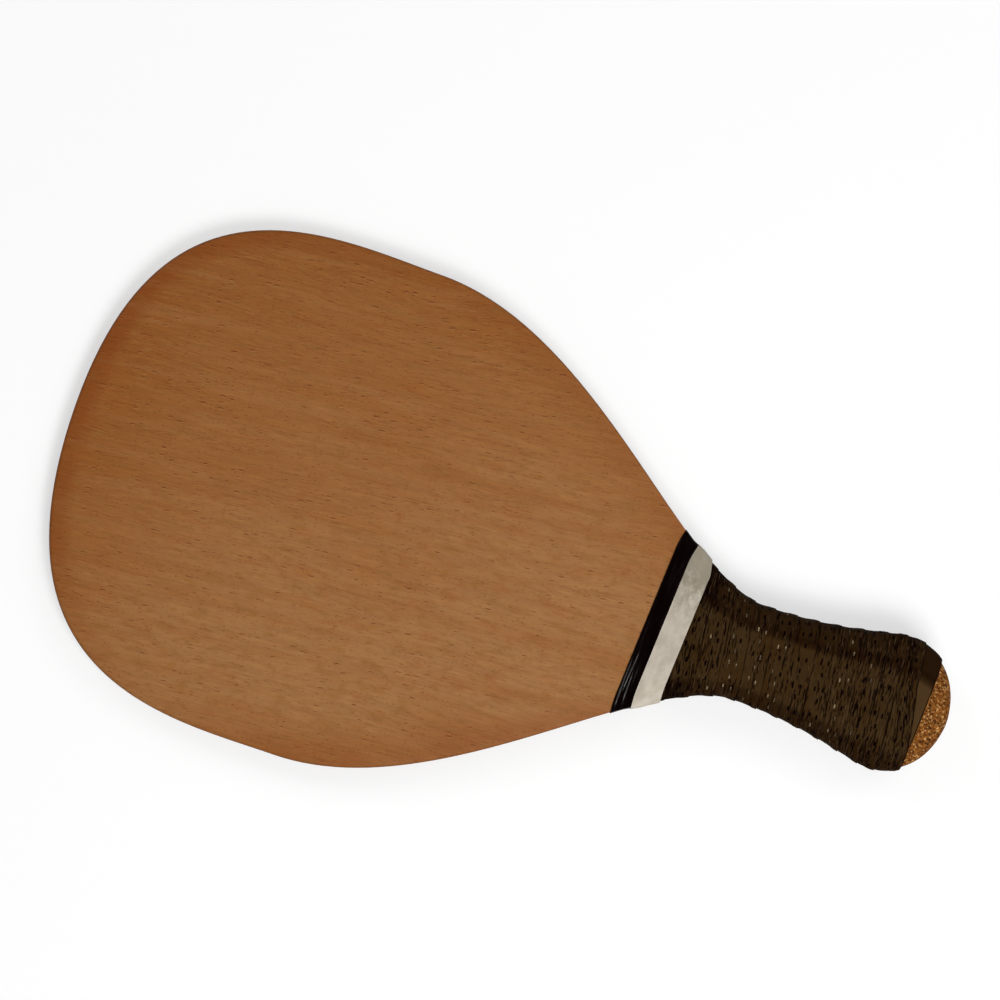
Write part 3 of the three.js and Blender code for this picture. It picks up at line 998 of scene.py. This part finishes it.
def grip_material():
    material, tree, surface = new_material("overgrip", Specular_IOR_Level=0.02)
    ribbon = read(tree, "ribbon", "Vector")
    along, across, turn = node("SeparateXYZ", {0: ribbon}).outputs
    wear, tail, depth, side, pale, corner = (
        read(tree, name) for name in ("wear", "tail", "seam_depth", "side", "pale", "corner")
    )
    wound = calc("SUBTRACT", 1.0, tail)

    blotch = noise(ribbon, (16, 6), detail=3.0)
    grime = noise(ribbon, (3.2, 1.4), detail=3.0)
    # Painted shade: both bevels of the grip are darkened, more on the tail, with a darker line where
    # the +Y bevel begins
    plus_side = between(side, 0.48, 0.62)
    minus_side = between(side, -0.64, -0.78)
    either_side = calc("MAXIMUM", plus_side, minus_side)
    side_shade_share = calc("MULTIPLY_ADD", tail, 0.3, 0.55)
    bevel_shade_line = between(side, 0.42, 0.52)
    bevel_shade_line = times(bevel_shade_line, between(side, 0.60, 0.70, 1.0, 0.0))
    at_edge = between(across, *edge_shadow_run, 1.0, 0.0)
    at_edge = times(at_edge, calc("LESS_THAN", turn, 1.6))

    crowd = noise(ribbon, (15, 3.2), detail=1.0)
    crowded = between(crowd, 0.3, 0.7, 0.0, 0.5)
    keep = times(calc("MULTIPLY_ADD", wear, 0.4, crowded), wound)
    crease, ridges = grip_creases(ribbon, keep)

    gap, is_clean = slot_marks(along, across, pale)
    shows = times(wound, calc("GREATER_THAN", depth, 1.2))
    # Painted shade in the slots and in the dimples round them, and the pale core that clean slots show
    slot, dimple_shade, core = (
        times(between(gap, *run, 1.0, 0.0), shows) for run in (slot_shade_run, dimple_shade_run, core_run)
    )
    soiling = noise(moved(ribbon, noise_offset), (3, 3))
    core = times(core, is_clean, between(soiling, 0.36, 0.56, 1.0, 0.3))

    ragged = noise(ribbon, (2.4, 1))
    ragged_depth = calc("MULTIPLY_ADD", ragged, -0.7, depth)
    seam = between(ragged_depth, -0.30, 0.35, 1.0, 0.0)
    pressed = noise(moved(ribbon, pressed_offset), (14, 30))
    seam_shade_share = between(pressed, 0.4, 0.62, 0.95, 0.4)
    colour = layered(
        mix(between(blotch, 0.4, 0.7), grip_brown, grip_warm),
        (between(grime, 0.45, 0.75), 0.35, grime_and_side_shade),
        # The tail is lighter: partly its own colour, partly painted sheen
        (tail, 0.85, tail_tone_and_sheen),
        # Painted shade on the bevels and along the start of the +Y bevel
        (either_side, side_shade_share, grime_and_side_shade),
        (bevel_shade_line, 0.65, grime_and_side_shade),
        # Painted shade at the corners beside the tapes
        (corner, 0.7, painted_shade_black),
        (at_edge, 0.9, painted_shade_black),
        # Painted highlights on the ridges
        (ridges, 0.6, ridge_highlight),
        # Painted shade in black: in the creases, the dimples round the slots, the slots, and along the
        # seams
        (crease, 0.95, painted_shade_black),
        (dimple_shade, 0.25, painted_shade_black),
        (slot, 1.0, painted_shade_black),
        (core, 1.0, slot_cream),
        (seam, seam_shade_share, painted_shade_black),
    )

    pebble = cells(ribbon, (0.5, 0.4), "Distance")
    relief = calc("MULTIPLY_ADD", pebble, 0.25, times(ridges, 0.4))
    relief = calc("SUBTRACT", relief, calc("MAXIMUM", crease, slot))
    rough = between(blotch, 0.3, 0.7, 0.66, 0.82)
    join_surface(tree, surface, colour, rough, relief, strength=0.5, depth=0.2 * mm)
    return material


finish_piece(grip, "grip_tape", grip_material(), smooth_degrees=60)

# Neck tape: black glossy vinyl, laid once round the neck over the grip's end and down onto the wood.
# It seals the ramp of the cork scales. A few small folds stand up where the flat tape can't follow
# the flare of the neck.
tape_tilt_degrees = 2.9
tape_tilt = math.tan(math.radians(tape_tilt_degrees))
tape_thickness = 0.3 * mm
tape_body_share = 0.8
neck_tape_end_station = 153.6 * mm
neck_tape_width = 19 * mm
neck_tape_low_lift = 0.2 * mm
neck_tape_high_lift = 1.3 * mm
neck_tape_step_run = 7 * mm
neck_tape_ripple_sizes = (12 * mm, 6 * mm)
tape_ripple = 0.04 * mm
neck_tape_steps = 64
tape_round_steps = 420
plus_bow, plus_bow_run = 1.3 * mm, 12 * mm
minus_bow, minus_bow_run = 0.8 * mm, 10 * mm
corner_bow, corner_bow_run = 2.8 * mm, 7 * mm


def neck_lift(station):
    clear_of_grip = grip_end_station + half_width(grip_end_station) * tape_tilt + plus_bow
    share = np.clip((station - clear_of_grip) / neck_tape_step_run, 0, 1)
    return neck_tape_high_lift + (neck_tape_low_lift - neck_tape_high_lift) * share


def side_bow(across, reach, u):
    """How far a tape's edges bend towards the butt where it turns over the sides of the handle."""
    plus = np.clip((across - reach + plus_bow_run) / plus_bow_run, 0, 1) ** 2
    minus = np.clip((minus_bow_run - reach - across) / minus_bow_run, 0, 1) ** 2
    corner = np.clip((across - reach + corner_bow_run) / corner_bow_run, 0, 1) ** 1.5
    return plus * plus_bow + minus * minus_bow - corner * corner_bow * (1 - u) ** 2


def folds_at(centre, across):
    """Height of the small folds: long narrow ridges along the tape, near its edge on the wood."""
    height = np.zeros(len(centre))
    for fold_across, reach, fold_station, drift, tall, width in (
        (-33 * mm, 14 * mm, 152.9 * mm, 0.02, 0.30 * mm, 0.45 * mm),
        (-26 * mm, 12 * mm, 151.5 * mm, -0.02, 0.30 * mm, 0.45 * mm),
        (-34 * mm, 10 * mm, 150.1 * mm, 0.03, 0.26 * mm, 0.42 * mm),
        (-29 * mm, 9 * mm, 148.6 * mm, 0.05, 0.22 * mm, 0.42 * mm),
        (-6 * mm, 9 * mm, 152.4 * mm, 0.03, 0.12 * mm, 0.50 * mm),
        (31 * mm, 8 * mm, 151.6 * mm, 0.04, 0.14 * mm, 0.50 * mm),
    ):
        along = (across - fold_across) / reach
        line = fold_station + drift * (across - fold_across)
        body = np.exp(-(((centre - line) / width) ** 2))
        height += tall * body * np.clip(1 - along**2, 0, 1)
    return height


def tape_piece(name, end_station, width, lift_at, steps_along, relief):
    """A tape laid once round the handle, square to a line that is tilted a little."""

    def spot(u, v):
        centre = end_station - width + width * u
        place = evenly_round(v)
        across, _ = section(centre, place)
        bow = side_bow(across, half_width(centre), u)
        station = centre - across * tape_tilt - bow
        lift = lift_at(centre) + tape_thickness
        return on_handle(station, place, lift + relief(centre, across, place))

    piece, u, v = wrapped_grid(name, steps_along, tape_round_steps, spot)
    centre = end_station - width + width * u
    across, _ = section(centre, evenly_round(v))
    attribute(piece, "tape", centre, v * girths[-1], across)
    edit(piece)
    bpy.ops.mesh.remove_doubles(threshold=merge_distance)
    bpy.ops.mesh.normals_make_consistent(inside=False)
    close()
    apply_modifier(piece, "SOLIDIFY", thickness=tape_thickness * tape_body_share, offset=-1)
    return piece


def neck_relief(centre, across, place):
    front = np.sin(place / places * 2 * math.pi) > 0
    wave = soft_noise(across, centre, *neck_tape_ripple_sizes, seed=11) * tape_ripple
    return wave + np.where(front, folds_at(centre, across), 0)


vinyl_black = (0.0022, 0.0003, 0.0002, 1)
vinyl_smear = (0.0040, 0.0016, 0.0012, 1)


def neck_tape_material():
    material, tree, surface = new_material("black_tape", Specular_IOR_Level=0.27)
    tape = read(tree, "tape", "Vector")
    smear = noise(tape, (3, 11), detail=3.0)
    fine = noise(tape, (1.6, 9))
    colour = mix(between(smear, 0.45, 0.75), vinyl_black, vinyl_smear)
    rough = between(smear, 0.3, 0.7, 0.12, 0.22)
    join_surface(tree, surface, colour, rough, fine, strength=0.12, depth=0.1 * mm)
    return material


neck_tape = tape_piece(
    "neck_tape",
    neck_tape_end_station,
    neck_tape_width,
    neck_lift,
    neck_tape_steps,
    neck_relief,
)
finish_piece(neck_tape, "neck_tape", neck_tape_material())

# Finishing tape: a narrow silver-grey band that holds the end of the grip and laps over the neck tape.
# Its satin face is smudged from handling, and it turns darker and yellower towards the +Y end.
finishing_tape_end_station = 145.3 * mm
finishing_tape_width = 12 * mm
finishing_tape_ripple_sizes = (11 * mm, 8 * mm)
finishing_tape_steps = 44
over_neck_tape = 0.4 * mm


def finishing_lift(station):
    return neck_lift(station) + over_neck_tape


def finishing_relief(centre, across, place):
    around = place / places * girths[-1]
    wave = soft_noise(around, centre, *finishing_tape_ripple_sizes, seed=21)
    return wave * tape_ripple - tape_ripple


silver_pale = (0.620, 0.550, 0.455, 1)
silver_grey = (0.510, 0.450, 0.365, 1)
silver_yellow = (0.265, 0.228, 0.165, 1)
silver_stain = (0.300, 0.265, 0.205, 1)
smudge_reach = 26 * mm
yellow_plus_end_run = (6 * mm, 30 * mm)
end_run = (23 * mm, 29 * mm)


def finishing_tape_material():
    material, tree, surface = new_material("silver_tape", Specular_IOR_Level=0.35)
    tape = read(tree, "tape", "Vector")
    across = node("SeparateXYZ", {0: tape}).outputs[2]
    cloud = noise(tape, (5, 10, 12), detail=4.0, roughness=0.6)
    mottle = noise(tape, (2.2, 2.6), detail=3.0)
    speck = noise(tape, (0.8, 1.1))
    uneven = calc("ADD", swing(cloud, smudge_reach), across)
    uneven = calc("ADD", swing(mottle, smudge_reach), uneven)
    yellow_to_plus_end = between(uneven, *yellow_plus_end_run)
    yellow_to_plus_end = times(yellow_to_plus_end, between(across, *end_run, 1.0, 0.85))
    colour = layered(
        mix(between(cloud, 0.35, 0.65), silver_pale, silver_grey),
        (yellow_to_plus_end, 0.95, silver_yellow),
        (between(speck, 0.58, 0.8), 0.3, silver_stain),
    )
    rough = between(cloud, 0.3, 0.7, 0.5, 0.38)
    join_surface(tree, surface, colour, rough, cloud, strength=0.25, depth=0.15 * mm)
    return material


finishing_tape = tape_piece(
    "finishing_tape",
    finishing_tape_end_station,
    finishing_tape_width,
    finishing_lift,
    finishing_tape_steps,
    finishing_relief,
)
finish_piece(finishing_tape, "finishing_tape", finishing_tape_material())

# Studio: a pale floor that the racket rests on, touched by the wound handle and the tip of the head,
# under soft lamps. The strongest lamp stands at the butt's end, to the -Y side.
rest_at = Vector((overall_length / 2 - scale_ramp_station, 0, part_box("grip_tape")[0].z))
tip_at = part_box("face_ply_back")[0]
slope = (tip_at.z - rest_at.z) / (rest_at.x - tip_at.x)
floor_half = 6.0
clearance = 0.3 * mm
floor_grey = 0.45
floor_glow = 0.56
world_light = 0.2
backdrop_rise = (0.06, 0.3)
backdrop_levels = (0.95, 0.02)

bpy.ops.object.select_all(action="DESELECT")
bpy.ops.mesh.primitive_plane_add(size=2 * floor_half)
floor = bpy.context.object
floor.name = "floor"
for corner in floor.data.vertices:
    corner.co.z = rest_at.z - clearance + (rest_at.x - corner.co.x) * slope


def seen_rays(tree):
    """1 for what the camera sees, also by reflection and through clear things, and 0 for light."""
    path = node("LightPath", {}, tree).outputs
    seen = calc("MAXIMUM", path["Is Camera Ray"], path["Is Glossy Ray"])
    return calc("MAXIMUM", seen, path["Is Transmission Ray"])


material, tree, surface = new_material("floor", Roughness=0.9, Specular_IOR_Level=0.1)
surface["Base Color"].default_value = (floor_grey, floor_grey, floor_grey, 1)
glow = times(seen_rays(tree), floor_glow)
lift_to_white = node("Emission", {"Color": (1, 1, 1, 1), "Strength": glow})
shader = tree.nodes["Principled BSDF"].outputs[0]
lit = node("AddShader", {0: shader, 1: lift_to_white.outputs[0]}).outputs[0]
below = node("NewGeometry", {}, tree).outputs["Backfacing"]
clear = node("BsdfTransparent", {}, tree).outputs[0]
either = node("MixShader", {0: below, 1: lit, 2: clear}).outputs[0]
tree.links.new(either, tree.nodes["Material Output"].inputs["Surface"])
floor.data.materials.append(material)

# Square lamps aimed at the racket. Each gives an upward face its share of plain white light
for name, azimuth, elevation, distance, size, share in (
    ("key_lamp", -38, 56, 2.0, 1.0, 0.62),
    ("fill_lamp", 150, 36, 2.6, 1.3, 0.12),
    ("side_lamp", 50, 38, 2.6, 1.3, 0.10),
):
    a, e = math.radians(azimuth), math.radians(elevation)
    away = Vector((math.cos(a) * math.cos(e), math.sin(a) * math.cos(e), math.sin(e)))
    bpy.ops.object.light_add(type="AREA", location=away * distance)
    lamp = bpy.context.object
    lamp.name = name
    lamp.rotation_euler = away.to_track_quat("Z", "Y").to_euler()
    lamp.data.shape = "SQUARE"
    lamp.data.size = size
    lamp.data.energy = share * math.pi**2 * distance**2 / math.sin(e)

world = bpy.data.worlds.new("studio")
bpy.context.scene.world = world
world.use_nodes = True
tree = world.node_tree
around = node("TexCoord", {}, tree).outputs["Generated"]
upness = node("SeparateXYZ", {0: around}).outputs[2]
backdrop = between(upness, *backdrop_rise, *backdrop_levels)
strength = blend(seen_rays(tree), world_light, backdrop)
background = tree.nodes["Background"]
background.inputs["Color"].default_value = (1, 1, 1, 1)
tree.links.new(strength, background.inputs["Strength"])

view_width = 0.48643
lens = 180.0
sensor = 36.0
camera_spot = (-15.0 * mm, 29.8 * mm)
camera_turn_degrees = 19.4
camera = bpy.data.objects.new("camera", bpy.data.cameras.new("camera"))
bpy.context.scene.collection.objects.link(camera)
camera.data.lens = lens
camera.data.sensor_width = sensor
camera.location = (*camera_spot, middle_height + view_width * lens / sensor)
camera.rotation_euler = (0, 0, math.radians(camera_turn_degrees))
bpy.context.scene.camera = camera
bpy.context.scene.view_settings.view_transform = "Standard"
